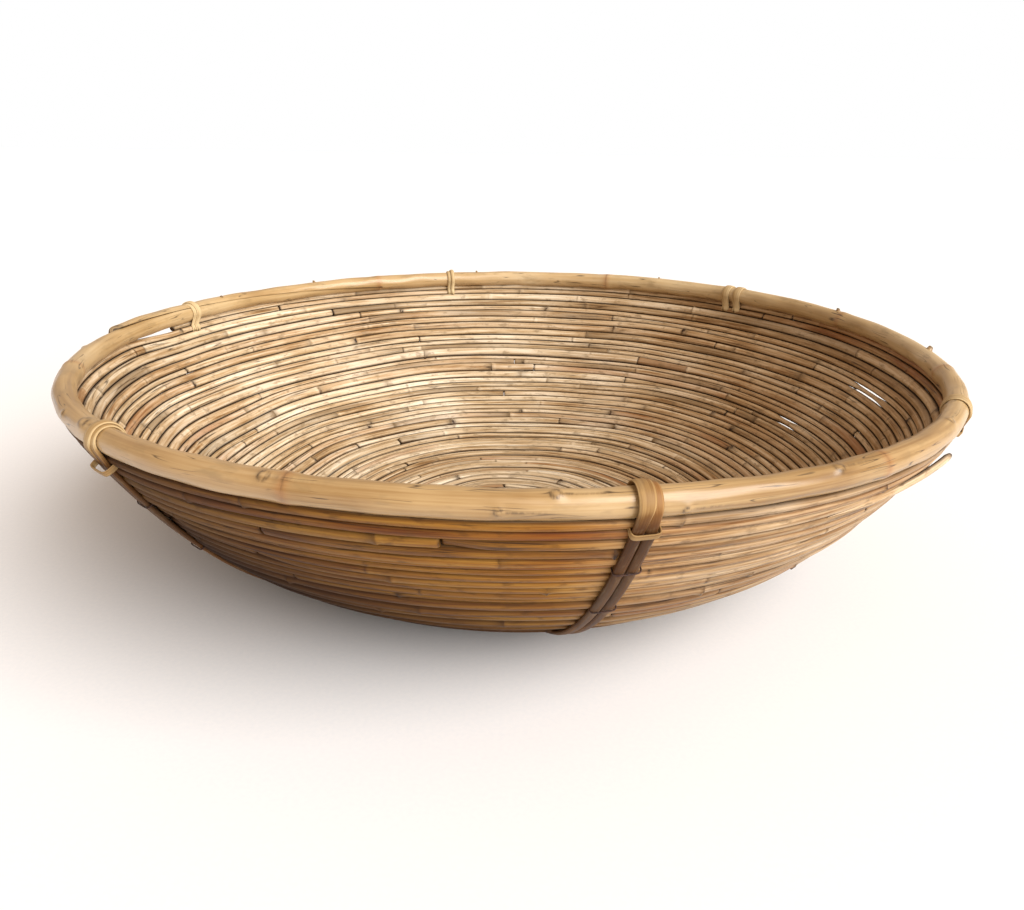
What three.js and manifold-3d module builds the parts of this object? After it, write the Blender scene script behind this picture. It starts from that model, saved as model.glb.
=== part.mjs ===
// A round bowl of coiled pencil reed under a rattan rim pole, held by six ribs of split cane.
// Millimetres, +Z up. The origin is the centre of the plane that the rib feet stand on.
// One long coil of reed lengths, butted end to end, winds out over the base and up the wall. The pole lies on
// its last turn and closes in a scarf. Each rib is a pair of canes that hooks over the pole from the inside,
// runs down the outside and turns under the base. A cane tie and two wire ties bridge each pair.
import * as THREE from "three";
import { mergeVertices } from "three/addons/utils/BufferGeometryUtils.js";
import Module from "manifold-3d";

const wasm = await Module();
wasm.setup();

// Overall form
const rimDiameter = 580; // across the centreline of the pole
const rimHeight = 141; // from the floor to the centreline of the pole
const baseDiameter = 188; // the flat middle of the base
const wallBelly = 2.63; // exponent of the wall's curve: higher keeps the wall low for longer

// Pole
const poleDiameter = 13.5;
const scarfLength = 64; // along the pole, from tip to tip of its slanting cut
const polePanels = 96; // flat steps round the rim

// Coil
const reedDiameter = 5.5;
const reedGap = 0.3; // between one turn and the next, and between the coil and the pole
const buttGap = 0.4; // between the ends of two reed lengths
const reedLengths = 24; // lengths that the whole coil is cut into
const heartRadius = 6.8; // radius of the innermost turn
const evenTurns = 12; // turns over which the coil's climb stops being even and gathers into one panel

// Ribs, each a pair of canes
const ribBearings = [44.5, 103, 159, 226.5, 282, 332.5]; // degrees from +X towards +Y, as laid by hand
const joinRib = 2; // the rib, counting from 0, that binds the pole's scarf and the coil's last end
const caneWidth = 6.6;
const caneThickness = 2.8;
const canePairGap = 0.5; // between the two canes of a pair
const caneGap = 0.4; // between a cane and what it lies on
const tuckGap = 1.4; // between a cane's inner end and the reeds
const tuckLength = 8; // how far a cane reaches down the inside, below the pole
const footRadius = 34; // where the canes stop under the base, from the centre

// Ties: distance down the wall from its top, width along the rib and thickness
const ties = [
  { name: "cane_tie", down: 1, width: 4.2, thickness: 0.9, material: "tieCane" },
  { name: "upper_wire_tie", down: 31, width: 1.3, thickness: 1.2, material: "wire" },
  { name: "lower_wire_tie", down: 72, width: 1.3, thickness: 1.2, material: "wire" },
];
const tieGap = 0.35; // between a tie and the canes or the wall
const tieShoulder = 0.8; // room beside the canes, inside a tie's legs

// How finely curves are stepped
const outerSteps = 4; // sections of the coil from one rib to the next
const heartSteps = 2; // the same where the coil is small
const heartLimit = 110; // mean radius below which a reed length counts as small
const reedSides = 5;
const poleSides = 8;
const wallStep = 15; // most between two sections of a rib on the wall
const hookSteps = 8; // steps of a rib round the pole

const fullTurn = 2 * Math.PI;
const rimRadius = rimDiameter / 2;
const poleRadius = poleDiameter / 2;
const reedRadius = reedDiameter / 2;
const baseRadius = baseDiameter / 2;
const pitch = reedDiameter + reedGap;
const baseLevel = caneThickness + caneGap + reedRadius; // height of the reeds' centres over the base
const wallTop = rimHeight - poleRadius - reedGap - reedRadius; // height of the last turn's centre

const colours = {
  pole: new THREE.MeshStandardMaterial({ color: 0xc99c5c, roughness: 0.42, metalness: 0 }),
  reed: new THREE.MeshStandardMaterial({ color: 0xc4985a, roughness: 0.6, metalness: 0 }),
  cane: new THREE.MeshStandardMaterial({ color: 0x6a4a32, roughness: 0.55, metalness: 0 }),
  tieCane: new THREE.MeshStandardMaterial({ color: 0xb09868, roughness: 0.55, metalness: 0 }),
  wire: new THREE.MeshStandardMaterial({ color: 0x3a2c2a, roughness: 0.6, metalness: 0.6 }),
};

const bowl = new THREE.Group();

function add(name, geometry, material, parent = bowl) {
  const mesh = new THREE.Mesh(geometry, colours[material]);
  mesh.name = name;
  parent.add(mesh);
  return mesh;
}

// A path given by its stations, each a point and the direction there, so that an extrusion has exactly one
// section at each station, square to that direction.
class StationPath extends THREE.Curve {
  constructor(stations) {
    super();
    this.stations = stations;
  }
  at(u) {
    return this.stations[Math.round(u * (this.stations.length - 1))];
  }
  getPointAt(u) {
    return this.at(u).point.clone();
  }
  getTangentAt(u) {
    return this.at(u).direction.clone();
  }
}

function sweep(section, stations) {
  return new THREE.ExtrudeGeometry(section, {
    steps: stations.length - 1,
    extrudePath: new StationPath(stations),
  });
}

// Stations through a list of points, each facing along the line between its neighbours.
function through(points) {
  const last = points.length - 1;
  return points.map((point, k) => {
    const ahead = points[Math.min(k + 1, last)];
    const behind = points[Math.max(k - 1, 0)];
    return { point, direction: ahead.clone().sub(behind).normalize() };
  });
}

function polygon(sides, radius) {
  const corner = (k) => new THREE.Vector2(0, radius).rotateAround(new THREE.Vector2(), (k * fullTurn) / sides);
  return new THREE.Shape(Array.from({ length: sides }, (_, k) => corner(k)));
}

// The line through the reeds' centres, from the middle of the base to the top of the wall: x is the radius
// and y the height. It is flat over the base and then rises as a power of the distance from its edge.
class WallLine extends THREE.Curve {
  getPoint(t) {
    const radius = t * rimRadius;
    const share = Math.max(0, (radius - baseRadius) / (rimRadius - baseRadius));
    return new THREE.Vector2(radius, baseLevel + (wallTop - baseLevel) * share ** wallBelly);
  }
}
const wall = new WallLine();
wall.arcLengthDivisions = 1500;
const wallLength = wall.getLength();

// A point beside the wall line: along it by "run" from the middle, and off it by "off", outwards if positive.
function besideWall(run, off) {
  const share = THREE.MathUtils.clamp(run / wallLength, 0, 1);
  const point = wall.getPointAt(share);
  const along = wall.getTangentAt(share);
  return new THREE.Vector3(point.x + off * along.y, 0, point.y - off * along.x);
}

// ---- Rim pole: a ring cut through on a slant, so that its two ends lap in a scarf.

function solidOf(geometry) {
  const bare = geometry.clone();
  bare.deleteAttribute("normal");
  bare.deleteAttribute("uv");
  const merged = mergeVertices(bare, 1e-3);
  return new wasm.Manifold(
    new wasm.Mesh({
      numProp: 3,
      vertProperties: new Float32Array(merged.attributes.position.array),
      triVerts: new Uint32Array(merged.index.array),
    }),
  );
}

function geometryOf(solid) {
  const mesh = solid.getMesh();
  return new THREE.BufferGeometry()
    .setAttribute("position", new THREE.BufferAttribute(mesh.vertProperties, 3))
    .setIndex(new THREE.BufferAttribute(mesh.triVerts, 1));
}

function makePole() {
  const ring = new THREE.TorusGeometry(rimRadius, poleRadius, poleSides, polePanels);
  const slant = Math.atan2(poleDiameter, scarfLength);
  const blade = new THREE.BoxGeometry(buttGap, 2 * scarfLength, 3 * poleDiameter);
  blade.rotateZ(slant).translate(rimRadius, 0, 0);
  blade.rotateZ(THREE.MathUtils.degToRad(ribBearings[joinRib]));
  const pole = add("rim_pole", geometryOf(solidOf(ring).subtract(solidOf(blade))), "pole");
  pole.position.z = rimHeight;
}

// ---- Coil: stations are counted from the heart. Some lie under the ribs, and the rest divide the spaces
// between ribs evenly, so every turn has its corners on the same bearings and no two turns meet.

const stationsPerTurn = ribBearings.length * outerSteps;

// Bearing in turns at a station, which may lie part of the way to the next one. Station 0 is at the first rib.
function bearingAt(station) {
  const whole = Math.floor(station / outerSteps);
  const ribs = ribBearings.length;
  const ribTurn = (k) => Math.floor(k / ribs) + ribBearings[((k % ribs) + ribs) % ribs] / 360;
  return THREE.MathUtils.lerp(ribTurn(whole), ribTurn(whole + 1), station / outerSteps - whole);
}

const turns = (wallLength - heartRadius) / pitch;
const wholeTurns = Math.floor(turns);
const joinStation = joinRib * outerSteps;
const firstStation = joinStation - Math.floor((turns - wholeTurns) * ribBearings.length) * outerSteps;
const lastStation = joinStation + wholeTurns * stationsPerTurn;

// Pitches climbed at a station. At the heart the coil climbs evenly, as any spiral does. Further out each turn
// lies level and climbs only in the panel after the joining rib, so that the last turn is level under the pole.
function climbAt(station) {
  const passed = station - joinStation;
  const turn = Math.floor(passed / stationsPerTurn);
  const even = passed / stationsPerTurn;
  const level = turn + Math.min(1, (passed - turn * stationsPerTurn) / outerSteps);
  return THREE.MathUtils.lerp(even, level, THREE.MathUtils.clamp(turn / evenTurns, 0, 1));
}

function coilPoint(station) {
  const centre = besideWall(wallLength - (wholeTurns - climbAt(station)) * pitch, 0);
  return centre.applyAxisAngle(new THREE.Vector3(0, 0, 1), bearingAt(station) * fullTurn);
}

// Stations where the coil is cut, so that the lengths come out nearly equal. They are ones that the small
// turns also have.
function cutStations() {
  const coarse = outerSteps / heartSteps;
  const reach = [0];
  for (let i = firstStation + 1; i <= lastStation; i++)
    reach.push(reach[reach.length - 1] + coilPoint(i).distanceTo(coilPoint(i - 1)));
  const whole = reach[reach.length - 1];
  const cuts = [firstStation];
  for (let k = 1; k < reedLengths; k++) {
    const passed = reach.findIndex((run) => run >= (whole * k) / reedLengths);
    cuts.push(firstStation + Math.round(passed / coarse) * coarse);
  }
  return [...cuts, lastStation];
}

// A station of the sweep, facing along the coil and moved along it by "shift".
function coilStation(station, shift = 0) {
  const nudge = 1 / 64;
  const direction = coilPoint(station + nudge).sub(coilPoint(station - nudge)).normalize();
  return { point: coilPoint(station).addScaledVector(direction, shift), direction };
}

function makeReed(number, from, to) {
  const middle = coilPoint((from + to) / 2);
  const small = Math.hypot(middle.x, middle.y) < heartLimit;
  const step = small ? outerSteps / heartSteps : 1;
  const stations = [coilStation(from, buttGap / 2)];
  for (let i = from + step; i < to; i += step) stations.push(coilStation(i));
  stations.push(coilStation(to, -buttGap / 2));
  const name = `coil_reed_${String(number).padStart(2, "0")}`;
  add(name, sweep(polygon(reedSides, reedRadius), stations), "reed");
}

// ---- Ribs and ties, made in the plane y = 0 and turned to their bearings.

function caneSection() {
  const half = caneWidth / 2;
  const crown = caneWidth / 4;
  return new THREE.Shape([
    new THREE.Vector2(-crown, -caneThickness / 2),
    new THREE.Vector2(crown, -caneThickness / 2),
    new THREE.Vector2(half, caneThickness / 2),
    new THREE.Vector2(-half, caneThickness / 2),
  ]);
}

// The centreline of a cane: up the inside, round the pole, down the outside and under the base.
function caneLine() {
  const off = reedRadius + caneGap + caneThickness / 2;
  const hookRadius = poleRadius + caneGap + caneThickness / 2;
  const tuckOff = off - caneGap + tuckGap;
  const points = [besideWall(wallLength - tuckLength, -tuckOff), besideWall(wallLength - tuckLength / 2, -tuckOff)];
  for (let k = 0; k <= hookSteps; k++) {
    const angle = THREE.MathUtils.degToRad(195 - (210 * k) / hookSteps);
    points.push(
      new THREE.Vector3(rimRadius + hookRadius * Math.cos(angle), 0, rimHeight + hookRadius * Math.sin(angle)),
    );
  }
  const wallRun = wallLength - baseRadius;
  const steps = Math.ceil(wallRun / wallStep);
  for (let k = 0; k <= steps; k++) points.push(besideWall(wallLength - (wallRun * k) / steps, off));
  points.push(besideWall(footRadius, off));
  return points;
}

function makeTie(tie) {
  const run = wallLength - tie.down;
  const legTop = caneGap + caneThickness + tieGap; // above the reeds' outer side
  const legBottom = tieGap;
  const inner = caneWidth + canePairGap / 2 + tieShoulder;
  const outer = inner + tie.thickness;
  const crown = legTop + tie.thickness;
  const outline = [
    [-outer, legBottom],
    [-outer, crown],
    [outer, crown],
    [outer, legBottom],
    [inner, legBottom],
    [inner, legTop],
    [-inner, legTop],
    [-inner, legBottom],
  ];
  const shape = new THREE.Shape(outline.map(([x, y]) => new THREE.Vector2(x, y)));
  const geometry = new THREE.ExtrudeGeometry(shape, { depth: tie.width, bevelEnabled: false });
  // x runs across the rib, y stands off the wall and z runs along the rib
  const off = besideWall(run, reedRadius);
  const out = besideWall(run, reedRadius + 1).sub(off);
  const along = new THREE.Vector3().crossVectors(new THREE.Vector3(0, 1, 0), out);
  geometry.translate(0, 0, -tie.width / 2);
  geometry.applyMatrix4(new THREE.Matrix4().makeBasis(new THREE.Vector3(0, 1, 0), out, along).setPosition(off));
  return geometry;
}

function makeRib(number, bearing) {
  const rib = new THREE.Group();
  rib.rotation.z = THREE.MathUtils.degToRad(bearing);
  const beside = (caneWidth + canePairGap) / 2;
  const line = through(caneLine());
  for (const side of ["left", "right"]) {
    const cane = add(`rib_${number}_${side}_cane`, sweep(caneSection(), line), "cane", rib);
    cane.position.y = side === "left" ? -beside : beside;
  }
  for (const tie of ties) add(`rib_${number}_${tie.name}`, makeTie(tie), tie.material, rib);
  bowl.add(rib);
}

makePole();
const cuts = cutStations();
for (let k = 0; k < reedLengths; k++) makeReed(k + 1, cuts[k], cuts[k + 1]);
ribBearings.forEach((bearing, k) => makeRib(k + 1, bearing));

export default bowl;
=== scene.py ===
import bpy
import numpy as np
from mathutils import Matrix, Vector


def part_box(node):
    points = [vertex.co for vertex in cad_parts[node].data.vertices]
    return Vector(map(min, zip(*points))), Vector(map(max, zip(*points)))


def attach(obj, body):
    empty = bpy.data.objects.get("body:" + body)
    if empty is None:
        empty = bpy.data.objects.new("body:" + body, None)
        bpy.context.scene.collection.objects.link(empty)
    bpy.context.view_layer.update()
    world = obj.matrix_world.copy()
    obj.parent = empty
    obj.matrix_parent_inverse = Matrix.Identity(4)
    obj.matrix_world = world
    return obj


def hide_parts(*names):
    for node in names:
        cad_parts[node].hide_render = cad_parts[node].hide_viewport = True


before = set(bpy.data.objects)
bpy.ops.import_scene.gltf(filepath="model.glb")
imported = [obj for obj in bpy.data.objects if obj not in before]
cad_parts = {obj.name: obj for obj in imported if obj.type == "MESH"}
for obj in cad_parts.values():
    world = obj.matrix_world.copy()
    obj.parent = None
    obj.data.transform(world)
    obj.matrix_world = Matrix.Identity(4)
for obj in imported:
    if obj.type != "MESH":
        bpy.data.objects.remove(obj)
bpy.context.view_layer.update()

print("bowl: frame loaded")

mm = 0.001
turn = 2 * np.pi

# Sizes that the frame gives
poleLow, poleHigh = (np.array(corner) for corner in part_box("rim_pole"))
rim = {
    "tube": (poleHigh[2] - poleLow[2]) / 2,
    "height": (poleHigh[2] + poleLow[2]) / 2,
}
rim["radius"] = (poleHigh[0] - poleLow[0]) / 2 - rim["tube"]
heartLow, heartHigh = (np.array(corner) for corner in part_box("coil_reed_01"))

wall = {
    "floorRadius": 94 * mm,  # flat middle of the base
    "belly": 2.63,  # exponent of the rise from there to the rim
    "reed": 5.5 * mm,
    "gap": 0.3 * mm,
    "heart": 6.8 * mm,  # radius of the innermost turn
    "bottom": (heartLow[2] + heartHigh[2]) / 2,
}
wall["top"] = rim["height"] - rim["tube"] - wall["gap"] - wall["reed"] / 2


def ribBearing(number):
    # angle of a rib round the bowl, from +X towards +Y
    low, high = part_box(f"rib_{number}_cane_tie")
    return np.arctan2(low[1] + high[1], low[0] + high[0]) % turn


ribs = {number: ribBearing(number) for number in range(1, 7)}
joinRib = 3  # binds the pole's scarf and the coil's last end


# Wall line through the reeds' centres: level over the floor, then height = bottom + rise * share ** belly,
# where share runs from 0 at the floor's edge to 1 under the pole.
lineRadius = np.linspace(0, rim["radius"] + 4 * mm, 3000)
lineShare = np.clip((lineRadius - wall["floorRadius"]) / (rim["radius"] - wall["floorRadius"]), 0, None)
lineHeight = wall["bottom"] + (wall["top"] - wall["bottom"]) * lineShare ** wall["belly"]
lineRun = np.concatenate([[0], np.cumsum(np.hypot(np.diff(lineRadius), np.diff(lineHeight)))])
lineOut = np.gradient(lineRadius, lineRun)
lineUp = np.gradient(lineHeight, lineRun)
wallLength = np.interp(rim["radius"], lineRadius, lineRun)


def besideWall(run, off):
    # a point of the wall line, moved off it along its outward normal, with the line's direction there
    out, up = np.interp(run, lineRun, lineOut), np.interp(run, lineRun, lineUp)
    radius = np.interp(run, lineRun, lineRadius) + off * up
    height = np.interp(run, lineRun, lineHeight) - off * out
    return radius, height, out, up


# The maker's ring isn't a true flat circle: shares of its radius by which it is wide or narrow, and rises or
# dips.
warp = {
    "wide": (0.0038, -0.0029),  # going round twice and three times, as sines
    "rise": (-0.0048, 0.0029, 0.003),  # twice as a cosine, twice as a sine, three times as a sine
}


def handWarp(points):
    # each radius and height is moved by the sum of those waves times rim radius * (height / rim height) ** 2
    bearing = np.arctan2(points[..., 1], points[..., 0])
    amount = rim["radius"] * np.clip(points[..., 2] / rim["height"], 0, 1.1) ** 2
    twice, thrice = np.sin(2 * bearing), np.sin(3 * bearing)
    wide = amount * (warp["wide"][0] * twice + warp["wide"][1] * thrice)
    level, slant, third = warp["rise"]
    rise = amount * (level * np.cos(2 * bearing) + slant * twice + third * thrice)
    return points + np.stack([wide * np.cos(bearing), wide * np.sin(bearing), rise], -1)


def softStep(value):
    # 3v^2 - 2v^3 between 0 and 1
    value = np.clip(value, 0, 1)
    return value * value * (3 - 2 * value)


def softBump(value):
    # bell curve, 1 at 0
    return np.exp(-(value ** 2))


def wander(rng, along, wavelength):
    # smooth noise from -1 to 1: three sines whose lengths spread round the wavelength, at random phases
    lengths = wavelength * rng.uniform(0.6, 1.8, 3)
    phases = rng.uniform(0, turn, 3)
    return sum(np.sin(turn * along / size + phase) for size, phase in zip(lengths, phases)) / 3


# A swept rod: one ring of points at each station, as arrays of (stations, sides).
def sweptRod(centre, axisA, axisB, profileA, profileB, along, tint):
    # point = centre + profileA * axisA + profileB * axisB; the profile is (sides) or (stations, sides)
    profileA = np.broadcast_to(profileA, (len(centre), np.shape(profileA)[-1]))
    profileB = np.broadcast_to(profileB, profileA.shape)
    points = centre[:, None] + profileA[..., None] * axisA[:, None] + profileB[..., None] * axisB[:, None]
    return {"points": points, "along": along, "tint": tint}


def rodFaces(stations, sides):
    # quads between neighbouring rings, and a fan from one middle point over each end
    ring = np.arange(stations - 1)[:, None] * sides
    side = np.arange(sides)[None]
    after = (side + 1) % sides
    quads = np.stack([ring + side, ring + after, ring + sides + after, ring + sides + side], -1)
    quads = quads.reshape(-1, 4)
    first, last, final = stations * sides, stations * sides + 1, (stations - 1) * sides
    side, after = side[0], after[0]
    start = np.stack([side * 0 + first, after, side], -1)
    end = np.stack([side * 0 + last, final + side, final + after], -1)
    return quads, np.concatenate([start, end])


endScar = 0.6  # how dark a rod's cut ends are


def buildRods(name, rods, material, nodes):
    # joins swept rods into one mesh, with a UV of (metres along, share round) and a tint for each point
    points, quads, fans, quadUvs, fanUvs, tints = [], [], [], [], [], []
    total = 0
    for rod in rods:
        grid = rod["points"]
        stations, sides = grid.shape[:2]
        middles = grid[[0, -1]].mean(1)
        faces, ends = rodFaces(stations, sides)
        a, b, c = grid[1, 1] - grid[1, 0], grid[2, 0] - grid[1, 0], grid[1].mean(0) - grid[1, 0]
        if np.dot(np.cross(a, b), c) > 0:  # the ring runs the other way round, so turn the faces
            faces, ends = faces[:, ::-1], ends[:, ::-1]
        along = np.concatenate([np.repeat(rod["along"], sides), rod["along"][[0, -1]]])
        share = np.concatenate([np.tile(np.arange(sides) / sides, stations), [0.5, 0.5]])
        uv = np.stack([along, share], -1)
        quadUv = uv[faces]
        # a face that closes the ring goes on past a share of 1 instead of back to 0
        wraps = quadUv[:, :, 1].max(1) - quadUv[:, :, 1].min(1) > 0.5
        quadUv[wraps, :, 1] += np.where(quadUv[wraps, :, 1] < 0.25, 1.0, 0.0)
        tint = np.concatenate([np.repeat(rod["tint"], sides, 0), rod["tint"][[0, -1]]])
        if "scar" in rod:  # scars that differ round the section
            tint[:-2, 3] = rod["scar"].ravel()
        tint[-2:, 3] = endScar
        points.append(np.concatenate([grid.reshape(-1, 3), middles]))
        quads.append(faces + total)
        fans.append(ends + total)
        quadUvs.append(quadUv.reshape(-1, 2))
        fanUvs.append(uv[ends].reshape(-1, 2))
        tints.append(tint)
        total += len(points[-1])
    mesh = bpy.data.meshes.new(name)
    quads, fans = np.concatenate(quads), np.concatenate(fans)
    mesh.from_pydata(handWarp(np.concatenate(points)).tolist(), [], quads.tolist() + fans.tolist())
    uvLayer = mesh.uv_layers.new(name="UVMap")
    uvLayer.data.foreach_set("uv", np.concatenate(quadUvs + fanUvs).astype(np.float32).ravel())
    layer = mesh.attributes.new("tint", "FLOAT_COLOR", "POINT")
    layer.data.foreach_set("color", np.concatenate(tints).astype(np.float32).ravel())
    smooth = np.ones(len(quads) + len(fans), bool)
    smooth[len(quads):] = False
    mesh.polygons.foreach_set("use_smooth", smooth)
    mesh.materials.append(material)
    piece = bpy.data.objects.new(name, mesh)
    bpy.context.scene.collection.objects.link(piece)
    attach(piece, "root")
    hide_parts(*nodes)
    return piece


# Materials

def hexColour(text):
    # sRGB hex to linear RGBA
    parts = np.array([int(text[k:k + 2], 16) for k in (1, 3, 5)]) / 255
    linear = np.where(parts <= 0.04045, parts / 12.92, ((parts + 0.055) / 1.055) ** 2.4)
    return (*linear.tolist(), 1.0)


def addNode(tree, kind, inputs=None, **settings):
    # a node with its settings, and each input set to a value or linked to a socket or a node's first output
    node = tree.nodes.new("ShaderNode" + kind)
    for key, value in settings.items():
        setattr(node, key, value)
    for socket, value in (inputs or {}).items():
        if isinstance(value, bpy.types.Node):
            value = next(output for output in value.outputs if output.enabled)
        if isinstance(value, bpy.types.NodeSocket):
            tree.links.new(value, node.inputs[socket])
        else:
            node.inputs[socket].default_value = value
    return node


def newMaterial(name):
    material = bpy.data.materials.new(name)
    material.use_nodes = True
    tree = material.node_tree
    return material, tree, tree.nodes["Principled BSDF"]


def setStops(ramp, stops):
    # colour stops of (place, hex)
    band = ramp.color_ramp
    while len(band.elements) < len(stops):
        band.elements.new(0.5)
    for element, (place, colour) in zip(band.elements, stops):
        element.position = place
        element.color = hexColour(colour)


colourMix = (0, 6, 7)  # a Mix node's inputs for colours: the amount, the colour under and the one over


def grain(tree, uv, scale, detail=3.0):
    # noise in the rod's own UV: so many waves per metre along it, and so many round it
    stretched = addNode(tree, "Mapping", {"Vector": uv, "Scale": (*scale, 1)})
    return addNode(tree, "TexNoise", {"Vector": stretched, "Scale": 1.0, "Detail": detail, "Roughness": 0.6},
                   noise_dimensions="2D")


def carried(value, low, high, bottom=0.0, top=1.0):
    # the inputs that carry a value in a straight line from low..high to bottom..top
    return {"Value": value, "From Min": low, "From Max": high, "To Min": bottom, "To Max": top}


# How the coil's colour is shifted, mostly as painted shade: darker seams between rods, a darker outside low
# down and away from the window, and honey on the faces away from the window, part of which on the outside is
# its own. Each amount is carried from one measure. That is X or Z in metres, or "out", the sine of the angle
# round a rod, above 0 on the face turned out of the bowl, or "seam", the size of its cosine, near 1 where the
# rod faces its neighbours.
shadeAndHoney = {
    "outside": ("out", -0.1, 0.4),
    "inside": ("out", 0.1, -0.4),
    "honeyShadeOutside": ("X", 0.1, 0.02, 0.35, 1.0),  # partly the outside's own honey, and painted shade that grows on the side away from the window
    "honeyShadeInside": ("X", 0.0, 0.2, 0.0, 0.36),  # painted shade: this side of the bowl's inside faces away from the window
    # painted shade on the outside: darker low down and on the side away from the window, less near it
    "shadeLow": ("Z", 0.11, 0.02, 0, 0.62),
    "shadeAway": ("X", 0.05, -0.18, 0.06, 0.8),
    "shadeNear": ("X", 0.12, 0.04, 0.6, 1.0),
    # painted shade: the faces where a rod meets its neighbours are darkened, less on the outside
    "seamShade": ("seam", 0.6, 0.92),
    "seamShadeOutside": ("out", -0.1, 0.4, 1.0, 0.55),
}
dullness = {"seamShade": 1.5, "rough": 0.95}  # how fast the painted seam shade goes dull, and how rough it is then


def shadeAndHoneyLayers(tree, look, uv, place):
    # painted shade as colour: honey away from the window = outside * outer honey amount + inside * inner honey
    # amount, the darker outside = (low amount + away amount) * near amount * outside, and the dark of the
    # seams between rods = seam amount * its outside weakening
    measures = dict(addNode(tree, "SeparateXYZ", {"Vector": place}).outputs.items())
    share = addNode(tree, "SeparateXYZ", {"Vector": uv}).outputs["Y"]
    angle = addNode(tree, "Math", {0: share, 1: turn}, operation="MULTIPLY")
    measures["out"] = addNode(tree, "Math", {0: angle}, operation="SINE")
    cosine = addNode(tree, "Math", {0: angle}, operation="COSINE")
    measures["seam"] = addNode(tree, "Math", {0: cosine}, operation="ABSOLUTE")
    shadeAmounts = {key: addNode(tree, "MapRange", carried(measures[measure], *numbers))
           for key, (measure, *numbers) in shadeAndHoney.items()}
    # honey: painted shade away from the window, with some of the outside's own honey
    outer = addNode(tree, "Math", {0: shadeAmounts["outside"], 1: shadeAmounts["honeyShadeOutside"]}, operation="MULTIPLY")
    inner = addNode(tree, "Math", {0: shadeAmounts["inside"], 1: shadeAmounts["honeyShadeInside"]}, operation="MULTIPLY")
    honey = addNode(tree, "Math", {0: outer, 1: inner}, operation="ADD")
    # painted shade on the outside, low down and away from the window
    dust = addNode(tree, "Math", {0: shadeAmounts["shadeLow"], 1: shadeAmounts["shadeAway"]}, operation="ADD")
    dust = addNode(tree, "Math", {0: dust, 1: shadeAmounts["shadeNear"]}, operation="MULTIPLY")
    dust = addNode(tree, "Math", {0: dust, 1: shadeAmounts["outside"]}, operation="MULTIPLY")
    # painted shade between neighbouring rods
    seamShade = addNode(tree, "Math", {0: shadeAmounts["seamShade"], 1: shadeAmounts["seamShadeOutside"]}, operation="MULTIPLY")
    dark = addNode(tree, "Math", {0: seamShade, 1: look["seamShade"]}, operation="MULTIPLY")
    dull = addNode(tree, "Math", {0: seamShade, 1: dullness["seamShade"]}, operation="MULTIPLY")
    dull = addNode(tree, "Math", {0: dull, 1: dust}, operation="MAXIMUM")
    return [(honey, "varnishAndShade", "MULTIPLY"), (dust, "dust", "MIX"), (dark, "dust", "MIX")], dull


def hairlineCracks(tree, look, uv):
    # the level lines of a long noise, |noise - 0.5| near 0, kept only where a broader noise is high
    level = addNode(tree, "Math", {0: grain(tree, uv, look["cracks"], 1.0), 1: 0.5}, operation="SUBTRACT")
    level = addNode(tree, "Math", {0: level}, operation="ABSOLUTE")
    line = addNode(tree, "MapRange", carried(level, look["crackWide"], 0.0))
    spots = grain(tree, uv, look["crackSpots"], 1.0)
    where = addNode(tree, "MapRange", carried(spots, look["crackFrom"], look["crackFrom"] + 0.06))
    return addNode(tree, "Math", {0: line, 1: where}, operation="MULTIPLY")


crack = {"dark": 0.85, "deep": 1.5}  # how much scar colour shows in a crack, and its depth against a streak's


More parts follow.
